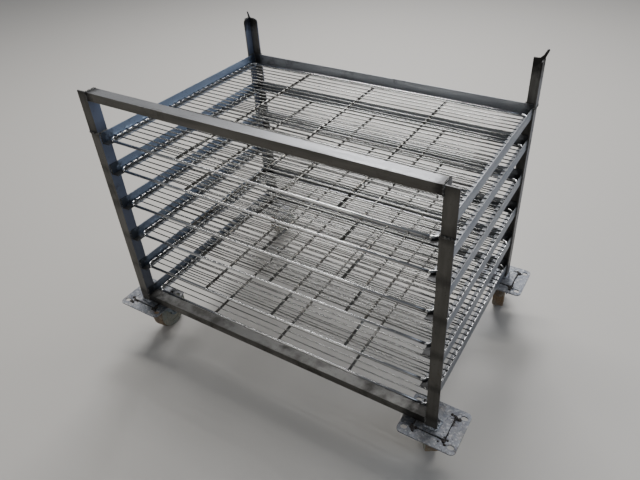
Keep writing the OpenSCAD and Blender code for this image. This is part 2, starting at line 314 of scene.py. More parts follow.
# %% Material frame
def material(name, metallic):
    made = bpy.data.materials.new(name)
    made.use_nodes = True
    tree = made.node_tree
    tree.nodes.clear()
    output = tree.nodes.new("ShaderNodeOutputMaterial")
    surface = tree.nodes.new("ShaderNodeBsdfPrincipled")
    surface.inputs["Metallic"].default_value = metallic
    tree.links.new(surface.outputs[0], output.inputs["Surface"])
    place = tree.nodes.new("ShaderNodeTexCoord").outputs
    return made, tree, surface, place


BUMP_DEPTH = 0.6 * MM


def finish_surface(tree, surface, colour, rough, height, strength):
    bump = shade(tree, "Bump", {"Height": height, "Strength": strength, "Distance": BUMP_DEPTH})
    tree.links.new(colour, surface.inputs["Base Color"])
    tree.links.new(rough, surface.inputs["Roughness"])
    tree.links.new(bump.outputs["Normal"], surface.inputs["Normal"])


print("bump depth", BUMP_DEPTH)

# %% [markdown]
# ## Where a finish lies
# A painted blue sky reflection shows on the faces that look sideways, dust and painted top light on
# those that look up, and burn marks at the ends that were welded. Masks could be painted by hand.
# The normal and the place give them exactly, and they still fit when a size changes.


# %% Masks from shape
def side_mask(tree, normal):
    """1 on faces that look left or right."""
    across = shade(tree, "SeparateXYZ", {0: normal}).outputs["X"]
    return remap(tree, math_node(tree, "ABSOLUTE", across), 0.55, 0.9)


def up_mask(tree, normal):
    """1 on faces that look up."""
    return remap(tree, shade(tree, "SeparateXYZ", {0: normal}).outputs["Z"], 0.5, 0.9)


def end_mask(tree, at, ends):
    """1 at the burnt ends of a piece: ends is an axis, where the piece starts and stops, a reach."""
    axis, start, stop, reach = ends
    along = shade(tree, "SeparateXYZ", {0: at}).outputs[axis]
    nearest = math_node(
        tree, "MINIMUM",
        math_node(tree, "SUBTRACT", along, start), math_node(tree, "SUBTRACT", stop, along),
    )
    ragged = math_node(tree, "MULTIPLY_ADD", noise(tree, at, 90.0), 1.4 * reach, -0.7 * reach)
    return remap(tree, math_node(tree, "ADD", nearest, ragged), reach, 0.45 * reach)


print("masks:", side_mask.__name__, up_mask.__name__, end_mask.__name__)

# %% [markdown]
# ## Bare steel
# The frame is unpainted mild steel that was handled and stored in the damp. From the bottom up it
# has drawn streaks, a painted blue sky reflection on its sideways faces, dust with painted top light
# on its upward faces, grime, brown rust, scorch, specks and burnt ends. Each kind of piece could
# have its own tree. One function with a table of values is easier to match, because the pieces then
# differ only in what the table says.


# %% Steel function
def bare_steel(name, look):
    """Worn mild steel with a painted sky reflection on sideways faces and painted top light. look
    gives its colours, how dirty it is and which way it was drawn.
    """
    made, tree, surface, place = material(name, look["metallic"])
    at, normal = place["Object"], place["Normal"]
    broad = use(tree, STAINS, {"Vector": at, "Scale": 9.0, "Amount": look["grime"]})["Mask"]
    brown = use(tree, STAINS, {"Vector": at, "Scale": 23.0, "Amount": look["brown_amount"]})["Mask"]
    specks = use(tree, SPOTS, {"Vector": at, "Scale": 260.0, "Size": look["specks"]})["Mask"]
    drawn = use(tree, STREAKS, {"Vector": at, "Stretch": look["stretch"]})["Value"]
    levels = {
        "Vector": at, "Lowest": RUNNER_TOP[6] - 10 * MM, "Step": LEVEL_STEP,
        "Top": SEAM_Z, "Width": look["scorch_width"],
    }
    burnt = use(tree, SCORCH, levels)["Mask"]
    # The painted blue sky reflection on sideways faces is weaker on the right wall and fades towards
    # the lowest levels.
    whereabouts = shade(tree, "SeparateXYZ", {0: at}).outputs
    right_wall_fade = remap(tree, whereabouts["X"], 0.2, 0.28, 1.0, 0.3)
    higher = remap(tree, whereabouts["Z"], 0.12, 0.4, 0.3, 1.0)
    sky_reflection_mask = math_node(tree, "MULTIPLY", side_mask(tree, normal), look["side_sky_reflection"])
    sky_reflection_mask = math_node(tree, "MULTIPLY", math_node(tree, "MULTIPLY", sky_reflection_mask, right_wall_fade), higher)

    colour = mix(tree, remap(tree, drawn, 0.35, 0.7), look["dark"], look["mid"])
    # Painted light: a blue sky reflection laid on the faces that look sideways.
    colour = mix(tree, sky_reflection_mask, colour, look["reflected_sky_blue"])
    # Dust with painted top light: a paler colour on the faces that look up.
    colour = layer(tree, up_mask(tree, normal), look["dust_and_top_light"], colour, look["pale_dust_and_top_light"])
    colour = layer(tree, broad, 0.7, colour, look["dirt"])
    colour = layer(tree, brown, 0.75, colour, look["rust"])
    colour = layer(tree, burnt, look["scorch"], colour, look["black"])
    colour = layer(tree, specks, 0.7, colour, look["black"])
    colour = layer(tree, end_mask(tree, at, look["burnt_ends"]), 0.85, colour, look["black"])

    rough = remap(tree, drawn, 0.3, 0.75, look["rough"] + 0.12, look["rough"] - 0.08)
    dull = math_node(tree, "MAXIMUM", broad, math_node(tree, "MAXIMUM", brown, specks))
    rough = math_node(tree, "MULTIPLY_ADD", dull, 0.22, rough)
    grain = noise(tree, at, 900.0, 3.0)
    height = math_node(tree, "MULTIPLY_ADD", specks, 1.2, math_node(tree, "ADD", grain, drawn))
    finish_surface(tree, surface, colour, rough, height, 0.35)
    return made


print("steel function:", bare_steel.__name__)

# %% [markdown]
# ## Kinds of steel
# The posts and uprights are darkest. The runners are thinner and have a stronger painted blue sky
# reflection. The back rails are pale, partly cleaner metal and partly a painted reflection of sky
# and floor. The top bar's top is paler with dust and painted top light, the bottom rail is dirty,
# and the torn tops are scorched grey.
# Each table starts from another and changes only what is different.

# %% Steel looks
NO_BURNT_START = -1.0
NO_BURNT_END = 9.0
# The blue and its amount are a painted sky reflection on sideways faces; the pale colour and its
# amount are dust with painted top light on upward faces.
STEEL = {
    "metallic": 0.7, "dark": (0.085, 0.081, 0.072), "mid": (0.125, 0.12, 0.108),
    "reflected_sky_blue": (0.21, 0.25, 0.36), "pale_dust_and_top_light": (0.2, 0.203, 0.21), "dirt": (0.045, 0.04, 0.034),
    "rust": (0.1, 0.062, 0.038), "black": (0.012, 0.011, 0.01), "grime": 0.42,
    "brown_amount": 0.3, "specks": 0.22, "stretch": (90.0, 90.0, 14.0), "side_sky_reflection": 0.85,
    "dust_and_top_light": 0.75, "scorch": 0.5, "scorch_width": 0.012, "rough": 0.42,
    "burnt_ends": ("Z", NO_BURNT_START, NO_BURNT_END, 0.01),
}
# The runners' stronger blue is a painted sky reflection on their sideways faces.
RUNNER_LOOK = {
    **STEEL, "dark": (0.1, 0.105, 0.115), "mid": (0.15, 0.156, 0.17), "reflected_sky_blue": (0.36, 0.46, 0.64),
    "grime": 0.36, "brown_amount": 0.24, "stretch": (90.0, 9.0, 90.0), "scorch": 0.0,
    "rough": 0.34, "burnt_ends": ("Y", FRONT_Y, BACK_Y, 0.03),
}
# The back rails' paler colours are partly cleaner metal and partly a painted reflection of sky and
# floor.
RAIL_LOOK = {
    **RUNNER_LOOK, "dark": (0.3, 0.315, 0.34), "mid": (0.42, 0.435, 0.46),
    "stretch": (9.0, 90.0, 90.0), "side_sky_reflection": 0.2, "burnt_ends": ("X", -BAY_X, BAY_X, 0.022),
}
BAR_LOOK = {
    **STEEL, "stretch": (9.0, 90.0, 90.0), "scorch": 0.0, "dust_and_top_light": 0.85, "side_sky_reflection": 0.3,
    "rough": 0.36, "burnt_ends": ("X", -BAY_X, BAY_X, 0.014),
}
LOW_BAR_LOOK = {
    **BAR_LOOK, "pale_dust_and_top_light": (0.2, 0.198, 0.192), "grime": 0.54,
    "burnt_ends": ("X", -BAY_X, BAY_X, 0.042),
}
BURNT_LOOK = {**STEEL, "grime": 0.5, "scorch_width": 0.02}
TORN_LOOK = {
    **BURNT_LOOK, "dark": (0.13, 0.125, 0.115), "mid": (0.2, 0.195, 0.185), "scorch": 0.3,
    "burnt_ends": ("Z", NO_BURNT_START, UPRIGHT["rear_left"][1].z, 0.04),
}
print("values in a steel look:", len(STEEL))

# %% [markdown]
# ## Shelf wire
# The wires are bare and rubbed bright in places, and black grime sits on them in others. A bump
# would break the thin highlight that makes a wire read as round, so almost none is used. The
# streaks are squeezed across the shelf, so that each wire is worn a little differently.


# %% Shelf wire
def shelf_wire(name, dark, bright, grime):
    made, tree, surface, place = material(name, 0.95)
    at = place["Object"]
    wear = use(tree, STREAKS, {"Vector": at, "Stretch": (3.0, 110.0, 40.0)})["Value"]
    worn = use(tree, STAINS, {"Vector": at, "Scale": 17.0, "Amount": grime})["Mask"]
    specks = use(tree, SPOTS, {"Vector": at, "Scale": 150.0, "Size": 0.3})["Mask"]
    colour = mix(tree, remap(tree, wear, 0.34, 0.66), dark, bright)
    colour = layer(tree, worn, 0.55, colour, (0.075, 0.066, 0.054))
    colour = layer(tree, specks, 0.8, colour, (0.02, 0.018, 0.015))
    rough = math_node(tree, "MULTIPLY_ADD", math_node(tree, "MAXIMUM", worn, specks), 0.2, 0.19)
    finish_surface(tree, surface, colour, rough, noise(tree, at, 400.0, 2.0), 0.02)
    return made


print("wire function:", shelf_wire.__name__)

# %% [markdown]
# ## Zinc plate
# The foot and castor plates are zinc plated. Zinc has flat crystals of slightly different greys,
# which are a Voronoi texture's cells. White crust, brown run stains and black specks lie on them.


# %% Zinc plate
def plated_steel():
    made, tree, surface, place = material("plated_steel", 0.6)
    at = place["Object"]
    crystal = shade(tree, "TexVoronoi", {"Vector": at, "Scale": 140.0}).outputs["Color"]
    flake = shade(tree, "SeparateColor", {0: crystal}).outputs[0]
    stains = use(tree, STAINS, {"Vector": at, "Scale": 26.0, "Amount": 0.5})["Mask"]
    brown = use(tree, STAINS, {"Vector": at, "Scale": 45.0, "Amount": 0.42})["Mask"]
    specks = use(tree, SPOTS, {"Vector": at, "Scale": 230.0, "Size": 0.3})["Mask"]
    crust = remap(tree, noise(tree, at, 190.0, 6.0, 0.7), 0.53, 0.62)
    colour = mix(tree, flake, (0.13, 0.14, 0.165), (0.2, 0.21, 0.235))
    colour = layer(tree, stains, 0.7, colour, (0.33, 0.315, 0.3))
    colour = layer(tree, crust, 0.6, colour, (0.52, 0.52, 0.5))
    colour = layer(tree, brown, 0.7, colour, (0.06, 0.043, 0.034))
    colour = layer(tree, specks, 0.8, colour, (0.02, 0.018, 0.016))
    rough = math_node(tree, "MULTIPLY_ADD", math_node(tree, "MAXIMUM", stains, brown), 0.25, 0.4)
    height = math_node(tree, "ADD", math_node(tree, "MULTIPLY", flake, 0.3), noise(tree, at, 600.0))
    finish_surface(tree, surface, colour, rough, height, 0.3)
    return made


print("plate function:", plated_steel.__name__)


# %% [markdown]
# ## Castor steel
# The forks, bolts and races are plated too, but they are greasy and turned blue-grey. They are
# small and mostly in shade, so two stains over a cloudy tone are enough.


# %% Castor steel
def castor_steel():
    made, tree, surface, place = material("castor_steel", 0.7)
    at = place["Object"]
    stains = use(tree, STAINS, {"Vector": at, "Scale": 34.0, "Amount": 0.5})["Mask"]
    brown = use(tree, STAINS, {"Vector": at, "Scale": 60.0, "Amount": 0.36})["Mask"]
    tone = remap(tree, noise(tree, at, 45.0), 0.35, 0.65)
    colour = mix(tree, tone, (0.11, 0.14, 0.17), (0.26, 0.29, 0.31))
    colour = layer(tree, stains, 0.7, colour, (0.05, 0.045, 0.04))
    colour = layer(tree, brown, 0.6, colour, (0.19, 0.1, 0.045))
    rough = math_node(tree, "MULTIPLY_ADD", stains, 0.25, 0.38)
    finish_surface(tree, surface, colour, rough, noise(tree, at, 500.0), 0.3)
    return made


print("castor function:", castor_steel.__name__)

# %% [markdown]
# ## Wheels
# The wheels are grey-green plastic discs. Their sides are dusty and scuffed, and their tread is
# stained amber and caked with floor dirt, so they need two materials that share their effects.


# %% Wheel plastic
def wheel_plastic():
    made, tree, surface, place = material("wheel_centre", 0.0)
    at = place["Object"]
    dusty = use(tree, STAINS, {"Vector": at, "Scale": 38.0, "Amount": 0.6})["Mask"]
    scuffs = use(tree, SPOTS, {"Vector": at, "Scale": 300.0, "Size": 0.4})["Mask"]
    colour = mix(tree, noise(tree, at, 50.0), (0.15, 0.17, 0.15), (0.22, 0.245, 0.215))
    colour = layer(tree, dusty, 0.55, colour, (0.33, 0.29, 0.22))
    colour = mix(tree, scuffs, colour, (0.05, 0.045, 0.04))
    rough = math_node(tree, "MULTIPLY_ADD", dusty, 0.25, 0.5)
    finish_surface(tree, surface, colour, rough, noise(tree, at, 400.0), 0.25)
    return made


def tyre_tread():
    made, tree, surface, place = material("tyre", 0.0)
    at = place["Object"]
    amber = use(tree, STAINS, {"Vector": at, "Scale": 30.0, "Amount": 0.66})["Mask"]
    caked = use(tree, STAINS, {"Vector": at, "Scale": 75.0, "Amount": 0.5})["Mask"]
    grit = use(tree, SPOTS, {"Vector": at, "Scale": 420.0, "Size": 0.55})["Mask"]
    colour = layer(tree, amber, 0.8, (0.05, 0.045, 0.04), (0.2, 0.12, 0.05))
    colour = layer(tree, caked, 0.8, colour, (0.25, 0.22, 0.17))
    colour = layer(tree, grit, 0.8, colour, (0.03, 0.026, 0.02))
    rough = math_node(tree, "MULTIPLY_ADD", caked, 0.2, 0.6)
    height = math_node(tree, "MULTIPLY_ADD", caked, 1.5, noise(tree, at, 350.0))
    finish_surface(tree, surface, colour, rough, height, 0.5)
    return made


print("wheel functions:", wheel_plastic.__name__, tyre_tread.__name__)

# %% [markdown]
# ## Weld metal
# A fresh bead is bright and rippled, and an old one is dark and rusty. Slag and soot are nearly
# black. All four are one ripple between two colours, so one function makes them.


# %% Weld metal
def weld_metal(name, dark, bright, metallic):
    made, tree, surface, place = material(name, metallic)
    at = place["Object"]
    ripple = noise(tree, at, 420.0, 5.0, 0.65)
    rusty = use(tree, STAINS, {"Vector": at, "Scale": 110.0, "Amount": 0.4})["Mask"]
    colour = mix(tree, remap(tree, ripple, 0.4, 0.68), dark, bright)
    colour = layer(tree, rusty, 0.5, colour, (0.09, 0.05, 0.028))
    rough = remap(tree, ripple, 0.3, 0.7, 0.62, 0.34)
    finish_surface(tree, surface, colour, rough, ripple, 0.6)
    return made


print("weld function:", weld_metal.__name__)

# %% [markdown]
# ## The finished materials
# The record gives each CAD node a material slot. Some pieces of one slot look different, such as
# the back rails, which are paler with cleaner metal and a painted reflection of sky and floor, so
# they have a steel of their own.

# %% Make the materials
MATERIALS = {
    "frame_steel": bare_steel("frame_steel", STEEL),
    "burnt_steel": bare_steel("burnt_steel", BURNT_LOOK),
    "runner_steel": bare_steel("runner_steel", RUNNER_LOOK),
    "shelf_wire": shelf_wire("shelf_wire", (0.06, 0.06, 0.057), (0.4, 0.4, 0.39), 0.32),
    "plated_steel": plated_steel(),
    "castor_steel": castor_steel(),
    "wheel_centre": wheel_plastic(),
    "tyre": tyre_tread(),
}
GRIMY_WIRE = shelf_wire("grimy_wire", (0.04, 0.036, 0.03), (0.26, 0.25, 0.23), 0.5)
# The rim wire is a lighter copy of the wire: partly cleaner metal and partly a painted highlight.
RIM_WIRE = shelf_wire("rim_wire", (0.34, 0.345, 0.35), (0.62, 0.62, 0.61), 0.18)
TORN_STEEL = bare_steel("torn_steel", TORN_LOOK)
OWN_STEEL = {
    "top_bar": bare_steel("bar_steel", BAR_LOOK),
    "bottom_rail": bare_steel("low_bar_steel", LOW_BAR_LOOK),
    "rear_left_upright": TORN_STEEL,
    "rear_right_upright": TORN_STEEL,
}
RAIL_STEEL = bare_steel("rail_steel", RAIL_LOOK)
OWN_STEEL.update({f"back_rail_{level}": RAIL_STEEL for level in LEVELS})
WELD = weld_metal("weld_metal", (0.025, 0.023, 0.021), (0.22, 0.22, 0.21), 0.75)
BRIGHT_WELD = weld_metal("bright_weld", (0.1, 0.11, 0.13), (0.75, 0.77, 0.8), 0.8)
BURNT_BROWN = weld_metal("burnt_brown", (0.01, 0.009, 0.008), (0.055, 0.044, 0.038), 0.3)
SOOT = weld_metal("weld_slag", (0.008, 0.008, 0.008), (0.06, 0.056, 0.05), 0.3)
print("materials:", len(bpy.data.materials))

# %% [markdown]
# ## Dress the frame
# A CAD node's mesh is never changed, but its material slots are free to fill. Nodes that are
# replaced later are dressed too, so that nothing is ever left plain.

# %% Dress the CAD nodes
SLOT_OF = {row["node"]: row["material_slot"] for row in frame["record"]["subparts"]}


def look_of(name):
    """The material that a CAD node wears."""
    return OWN_STEEL.get(name) or MATERIALS[SLOT_OF[name]]


for node_name, node_object in frame["nodes"].items():
    node_object.data.materials.clear()
    node_object.data.materials.append(look_of(node_name))
print("dressed nodes:", len(frame["nodes"]))

# %% [markdown]
# ## New pieces
# Every added piece is a mesh that rides on a body, so that it moves with that body's joint, and it
# wears the finishes that it is given. One helper does this for all of them.


# %% Piece helper
def add_piece(name, shape, body, slot, *finishes):
    """Make an object from a bmesh, and free the bmesh."""
    mesh = bpy.data.meshes.new(name)
    shape.to_mesh(mesh)
    shape.free()
    piece = bpy.data.objects.new(name, mesh)
    bpy.context.scene.collection.objects.link(piece)
    for finish in finishes:
        mesh.materials.append(finish)
    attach(piece, body)
    return piece


def smooth_all(shape):
    for face in shape.faces:
        face.smooth = True


def body_of(name):
    return frame["nodes"][name]["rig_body"]


# %% [markdown]
# ## Steel with worn edges
# Rolled angles, tubes and plates have small rounded edges that catch the light. A Bevel modifier
# could round them, but the thin triangles in the CAD mesh's flat faces would spoil it. So each
# sharp node is copied, its flat faces are merged, its sharp edges are rounded, and the copy
# stands for it.


# %% Rounded copies
SHARP_ANGLE = 0.6
CORNER_FACE_AREA = 1e-5


def rounded_copy(name, width):
    shape = bmesh.new()
    shape.from_mesh(frame["nodes"][name].data)
    bmesh.ops.remove_doubles(shape, verts=shape.verts, dist=1e-6)
    bmesh.ops.dissolve_limit(
        shape, angle_limit=math.radians(1), verts=shape.verts, edges=shape.edges
    )
    paired = [e for e in shape.edges if len(e.link_faces) == 2]
    sharp = [e for e in paired if e.calc_face_angle() > SHARP_ANGLE]
    bmesh.ops.bevel(
        shape, geom=sharp, offset=width, offset_type="OFFSET", segments=2, profile=0.6,
        affect="EDGES", clamp_overlap=True,
    )
    for face in shape.faces:
        face.smooth = face.calc_area() < CORNER_FACE_AREA
    made = add_piece(name + "_worn", shape, body_of(name), SLOT_OF[name], look_of(name))
    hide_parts(name)
    return made


worn = [rounded_copy(c + "_post", 0.6 * MM) for c in CORNERS]
worn += [rounded_copy(c + "_upright", 0.6 * MM) for c in CORNERS]
worn += [rounded_copy(n, 1.0 * MM) for n in ("top_bar", "bottom_rail")]
for level in LEVELS:
    worn += [rounded_copy(f"{n}_{level}", 0.35 * MM) for n in ("left_runner", "right_runner")]
    worn.append(rounded_copy(f"back_rail_{level}", 0.35 * MM))
worn.append(rounded_copy("foot_plates", 0.7 * MM))
worn += [rounded_copy(c + "_castor_plate", 0.4 * MM) for c in CORNERS]
print("worn copies:", len(worn), "triangles", sum(len(w.data.loop_triangles) for w in worn))

# %% [markdown]
# ## Tyres
# A wheel's side is grey-green right out to its edge, and only its tread is brown. The colour could
# be picked in the material, but two material slots are plainer: a face that looks along the axle
# is side, and all others are tread. The axle's direction comes from the joint.


# %% Two-tone tyres
def two_tone_tyre(corner):
    name = corner + "_tyre"
    axle = Vector(next(j for j in frame["joints"] if j["name"] == corner + "_roll")["axis"])
    shape = bmesh.new()
    shape.from_mesh(frame["nodes"][name].data)
    for face in shape.faces:
        face.material_index = 1 if abs(face.normal.dot(axle)) > 0.9 else 0
    made = add_piece(
        name + "_worn", shape, corner + "_roller", "tyre",
        MATERIALS["tyre"], MATERIALS["wheel_centre"],
    )
    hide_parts(name)
    return made


tyres = [two_tone_tyre(c) for c in CORNERS]
print("tyres:", [t.name for t in tyres])

# %% [markdown]
# ## A round wire
# A wire is a circle swept along a line. A curve with a round bevel would do, but one mesh can hold
# all the wires of a shelf and their three finishes. So a ring of points is set at each point of
# the line, square to its direction, and the rings are joined by faces.

# %% Wire builder
BRIGHT_TONE, GRIMY_TONE, RIM_TONE = 0, 1, 2


def tube(shape, points, radius, sides, tone):
    """An open round wire through points that lie in a level plane."""
    rings = []
    last = len(points) - 1
    for i, point in enumerate(points):
        along = (points[min(i + 1, last)] - points[max(i - 1, 0)]).normalized()
        side = Vector((0, 0, 1)).cross(along).normalized()
        lift = along.cross(side)
        ring_verts = []
        for k in range(sides):
            angle = math.tau * k / sides
            offset = side * math.cos(angle) + lift * math.sin(angle)
            ring_verts.append(shape.verts.new(point + offset * radius))
        rings.append(ring_verts)
    for one, two in zip(rings, rings[1:]):
        for k in range(sides):
            beside = (k + 1) % sides
            face = shape.faces.new((one[k], one[beside], two[beside], two[k]))
            face.material_index = tone
            face.smooth = True
    shape.faces.new(rings[0][::-1]).material_index = tone
    shape.faces.new(rings[-1]).material_index = tone


print("wire builder:", tube.__name__)

# %% [markdown]
# ## The shelf's rim
# The rim is one thick wire bent round four corners, with three cross rods inside it. It could be
# one closed tube. Here it is two short sides with their bends and two straight long sides, which
# meet end to end, so that every wire is made by the same open tube.

# %% Rim
RIM_R = 2.5 * MM
THIN_R = 1.1 * MM
CORNER_R = 12 * MM
RIM_FACETS, THIN_FACETS = 12, 8
BEND_STEPS = 8
ALONG_ROD = (-1, -0.5, 0, 0.5, 1)


def rounded_side(half_w, half_d, side):
    """One short side of the rim with the bends at both of its ends."""
    points = []
    for quarter, turn_from in ((-1, -90), (1, 0)):
        centre = Vector((half_w - CORNER_R, quarter * (half_d - CORNER_R), 0))
        for k in range(BEND_STEPS + 1):
            angle = math.radians(turn_from + 90 * k / BEND_STEPS)
            points.append(centre + Vector((math.cos(angle), math.sin(angle), 0)) * CORNER_R)
    return [Vector((side * p.x, p.y, p.z)) for p in points]


def rim_and_rods(shape, middle, half_w, half_d):
    for side in (-1, 1):
        bends = [middle + p for p in rounded_side(half_w, half_d, side)]
        tube(shape, bends, RIM_R, RIM_FACETS, RIM_TONE)
        long_x = half_w - CORNER_R
        long_side = [middle + Vector((x * long_x, side * half_d, 0)) for x in ALONG_ROD]
        tube(shape, long_side, RIM_R, RIM_FACETS, RIM_TONE)
    for x in (-half_w / 2, 0, half_w / 2):
        rod = [middle + Vector((x, y * (half_d - 1 * MM), 0)) for y in ALONG_ROD]
        tube(shape, rod, RIM_R, RIM_FACETS, GRIMY_TONE)


print("rim wire", 2 * RIM_R, "thin wire", 2 * THIN_R)

# %% [markdown]
# ## The thin wires
# Real shelves aren't perfect: the thin wires are set a little unevenly, swing a little to and fro
# and sag between the cross wires. Each gets its own small random amounts. The seed is fixed, so
# that the shelf is the same each time.

# %% Wire shelves
WIRE_PITCH = 13.2 * MM
WIRE_PARTS = 16


def thin_wire(shape, middle, half_w, y, top, rng):
    sag, swing = rng.uniform(-0.5, 0) * MM, rng.uniform(-0.7, 0.7) * MM
    points = []
    for k in range(WIRE_PARTS + 1):
        t = 2 * k / WIRE_PARTS - 1
        dip = sag * abs(math.sin(2 * math.pi * t))
        points.append(middle + Vector((
            t * (half_w + 1.4 * MM), y + swing * math.sin(math.pi * t), top + dip
        )))
    tube(shape, points, THIN_R, THIN_FACETS, BRIGHT_TONE)


def wire_shelf(level):
    name = f"shelf_{level}"
    low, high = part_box(name)
    rng = random.Random(700 + level)
    half_w, half_d = high.x - RIM_R, (high.y - low.y) / 2 - RIM_R
    middle = Vector((0, (low.y + high.y) / 2, low.z + RIM_R))
    top = high.z - THIN_R - middle.z
    shape = bmesh.new()
    rim_and_rods(shape, middle, half_w, half_d)
    spaces = round(2 * half_d / WIRE_PITCH)
    for i in range(1, spaces):
        y = -half_d + 2 * half_d * i / spaces + rng.uniform(-0.5, 0.5) * MM
        thin_wire(shape, middle, half_w, y, top, rng)
    made = add_piece(
        name + "_wires", shape, body_of(name), "shelf_wire",
        MATERIALS["shelf_wire"], GRIMY_WIRE, RIM_WIRE,
    )
    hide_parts(name)
    return made


shelves = [wire_shelf(level) for level in LEVELS]
print("shelves:", len(shelves), "faces", sum(len(w.data.polygons) for w in shelves))

# %% [markdown]
# ## Weld beads
# A hand-laid bead is a row of overlapping lumps. It could be a tube with a bump, but its outline
# would stay smooth. Here each lump is a small ball that is squashed, turned and dented, and a bead
# is a row of them, a little apart and a little off the line.


# %% Bead builder
def lump(shape, at, size, rng):
    """One squashed, uneven ball of weld."""
    turn = Matrix.Rotation(rng.uniform(0, math.tau), 4, Vector((rng.random(), rng.random(), 1)))
    squash = Matrix.Diagonal((1, rng.uniform(0.75, 1.1), rng.uniform(0.6, 0.9), 1))
    place = Matrix.Translation(at) @ turn @ squash
    made = bmesh.ops.create_icosphere(shape, subdivisions=2, radius=size, matrix=place)
    for v in made["verts"]:
        v.co += (v.co - at) * rng.uniform(-0.12, 0.12)


def bead(shape, start, end, size, rng):
    start, end = Vector(start), Vector(end)
    count = max(2, round((end - start).length / (size * 0.9)))
    for i in range(count):
        at = start.lerp(end, (i + 0.5) / count)
        at += Vector([rng.uniform(-0.18, 0.18) * size for _ in range(3)])
        lump(shape, at, size * rng.uniform(0.8, 1.15), rng)


def weld_piece(name, lines, size, seed, made_of, slot="burnt_steel"):
    """One object holding all the beads of one joint."""
    shape = bmesh.new()
    rng = random.Random(seed)
    for start, end in lines:
        bead(shape, start, end, size, rng)
    smooth_all(shape)
    return add_piece(name, shape, "frame", slot, made_of)


print("bead builder:", lump.__name__, bead.__name__, weld_piece.__name__)

# %% [markdown]
# ## Seams of posts and uprights
# Each short upright is welded on its post at the top shelf. The bead shows on the two outside
# faces of the angle, so it has two lines.


# %% Seams
def seam_lines(corner):
    """The two outside lines round an angle at the seam's height."""
    low, high = POST[corner]
    side = -1 if "left" in corner else 1
    inner, outer = (low.x, high.x) if side > 0 else (high.x, low.x)
    if "front" in corner:
        leg_back = inner + side * 2.5 * MM
        return [
            ((inner, low.y, SEAM_Z), (outer, low.y, SEAM_Z)),
            ((leg_back, low.y + 3 * MM, SEAM_Z), (leg_back, high.y, SEAM_Z)),
        ]
    return [
        ((inner, high.y, SEAM_Z), (outer, high.y, SEAM_Z)),
        ((outer, high.y, SEAM_Z), (outer, low.y, SEAM_Z)),
    ]


welds = []
for number, corner in enumerate(CORNERS):
    welds.append(weld_piece(f"weld_{corner}_seam", seam_lines(corner), 2.3 * MM, number, WELD))
print("seams:", len(welds))


# %% [markdown]
# ## Ends of the bars
# The two front tubes are welded at both ends. Their beads go up the front edge, over the top and
# down the back, and the underside has none. How many pieces there are so far is the next one's
# seed, so that no two beads are alike.


# %% Bar ends
def bar_end_lines(bar, side):
    """Round the end of a front tube: front, top and back edges."""
    low, high = bar
    x = high.x if side > 0 else low.x
    return [
        ((x, low.y, low.z), (x, low.y, high.z)),
        ((x, low.y, high.z), (x, high.y, high.z)),
        ((x, high.y, high.z), (x, high.y, low.z)),
    ]


SIDES = (("left", -1), ("right", 1))
for bar_name, bar_box in (("top_bar", TOP_BAR), ("bottom_rail", BOTTOM_RAIL)):
    for label, side in SIDES:
        welds.append(weld_piece(
            f"weld_{bar_name}_{label}", bar_end_lines(bar_box, side), 1.9 * MM, len(welds), WELD
        ))
print("seams and bar ends:", len(welds))

# %% [markdown]
# ## Runners and back rails
# A runner is welded at its front end, behind the front post, before the rear post and in the
# corner with the back rail. The back rails are tacked to the rear posts from behind, and those
# beads are thin and black.


# %% Runner and rail beads
def runner_lines(side, level):
    """At the front end, at both posts and in the back rail's corner."""
    low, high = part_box(f"{'left' if side < 0 else 'right'}_runner_{level}")
    wall = side * BAY_X
    rear_edge = POST["rear_right"][0].y
    inside = wall - side * 1.5 * MM
    return [
        ((wall, low.y, max(low.z, BOTTOM_RAIL[1].z if level == 6 else 0)), (wall, low.y, high.z)),
        ((wall, FRONT_Y + LEG_W, low.z + 1 * MM), (wall, FRONT_Y + LEG_W, high.z - 2 * MM)),
        ((wall, rear_edge, low.z + 1 * MM), (wall, rear_edge, high.z - 1 * MM)),
        ((inside, high.y, low.z + 4 * MM), (inside, high.y, high.z)),
    ]


def rail_lines(level):
    """Along the top and bottom edges of a back rail, where it lies on the rear posts."""
    low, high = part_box(f"back_rail_{level}")
    face = high.y + 0.2 * MM
    lines = []
    for side in (-1, 1):
        near, far = side * (BAY_X - LEG_W + 3 * MM), side * (BAY_X - 1 * MM)
        lines += [((near, face, z), (far, face, z)) for z in (high.z, low.z)]
    return lines


for level in LEVELS:
    for label, side in SIDES:
        welds.append(weld_piece(
            f"weld_{label}_runner_{level}", runner_lines(side, level), 1.5 * MM, len(welds), WELD,
            slot="runner_steel",
        ))
    welds.append(weld_piece(
        f"weld_back_rail_{level}", rail_lines(level), 1.3 * MM, len(welds), SOOT,
        slot="runner_steel",
    ))
print("weld pieces so far:", len(welds))

# %% [markdown]
# ## Feet
# The castors are welded on roughly. Each foot has a bright ring round its post, brown tacks, a
# painted shadow line along the edge of the foot plate where it meets the castor plate, and a heap of
# slag at each of the plate's corners.
# One piece could hold them all, but their lumps differ in size and colour, so there are four.

# %% Feet
FOOT_HALF_W, FOOT_HALF_D = 26.5 * MM, 23 * MM
RING_SEED, TACK_SEED, GAP_SHADOW_SEED, SLAG_SEED = 90, 120, 150, 170
SLAG_LUMPS = 14


def ring(low, high, z):
    """The four sides of a rectangle."""
    a, b = (low[0], low[1], z), (high[0], low[1], z)
    c, d = (high[0], high[1], z), (low[0], high[1], z)
    return [(a, b), (b, c), (c, d), (d, a)]


def tack_lines(middle, z):
    """Short beads along the foot plate's two short edges, at its corners."""
    lines = []
    for sx in (-1, 1):
        x = middle.x + sx * FOOT_HALF_W
        for sy in (-1, 1):
            start = (x, middle.y + sy * FOOT_HALF_D * 0.3, z)
            lines.append((start, (x, middle.y + sy * FOOT_HALF_D, z)))
    return lines


